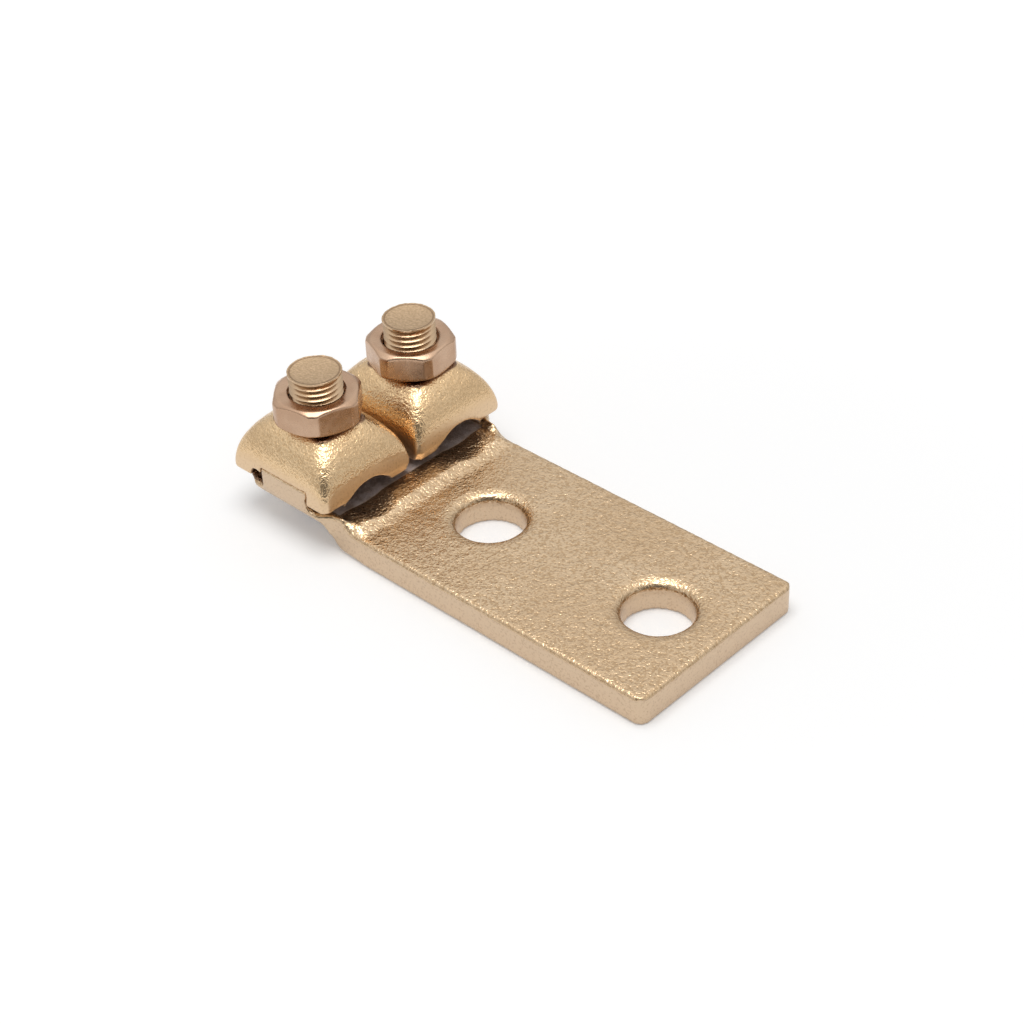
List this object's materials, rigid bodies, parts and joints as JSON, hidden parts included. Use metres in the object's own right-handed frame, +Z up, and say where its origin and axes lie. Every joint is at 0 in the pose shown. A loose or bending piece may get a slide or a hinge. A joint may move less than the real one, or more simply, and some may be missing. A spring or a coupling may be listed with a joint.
{
  "type": "terminal lug",
  "caption": "Cast bronze terminal lug: a flat tongue with bolt holes and side-by-side cable clamps, each a pillow-shaped cap drawn down by a hexagon nut on an eyebolt.",
  "frame": {"origin": "midway between the two bolt holes of the tongue, on its underside", "axes": "+X along the tongue to its free end, +Z up out of the tongue, the clamps at -X"},
  "size_m": [0.1096, 0.0514, 0.034],
  "materials": {
    "cast_bronze": "sand cast, pebbled, with smooth ground sides",
    "stud_bronze": "rolled thread with sawn ends",
    "nut_bronze": "machined, pinkish brown"
  },
  "bodies": {
    "lug": {"lug_body": "cast_bronze", "left_eyebolt": "stud_bronze", "right_eyebolt": "stud_bronze"},
    "left_cap": {"left_cap": "cast_bronze"},
    "right_cap": {"right_cap": "cast_bronze"},
    "left_nut": {"left_nut": "nut_bronze"},
    "right_nut": {"right_nut": "nut_bronze"}
  },
  "joints": [
    {"name": "left_cap_lift", "type": "slide", "parent": "lug", "child": "left_cap", "axis": [0, 0, 1], "range_m": [0, 0.0038]},
    {"name": "left_nut_turn", "type": "hinge", "parent": "left_cap", "child": "left_nut", "pos_m": [-0.05699, -0.0133, 0.0261], "axis": [0, 0, 1], "range_deg": [0, 1080]},
    {"name": "right_cap_lift", "type": "slide", "parent": "lug", "child": "right_cap", "axis": [0, 0, 1], "range_m": [0, 0.0038]},
    {"name": "right_nut_turn", "type": "hinge", "parent": "right_cap", "child": "right_nut", "pos_m": [-0.05699, 0.0133, 0.0261], "axis": [0, 0, 1], "range_deg": [0, 1080]}
  ],
  "couplings": [
    {"joint": "left_nut_turn", "follows": "left_cap_lift", "rad_per_m": 4947.4},
    {"joint": "right_nut_turn", "follows": "right_cap_lift", "rad_per_m": 4947.4}
  ]
}
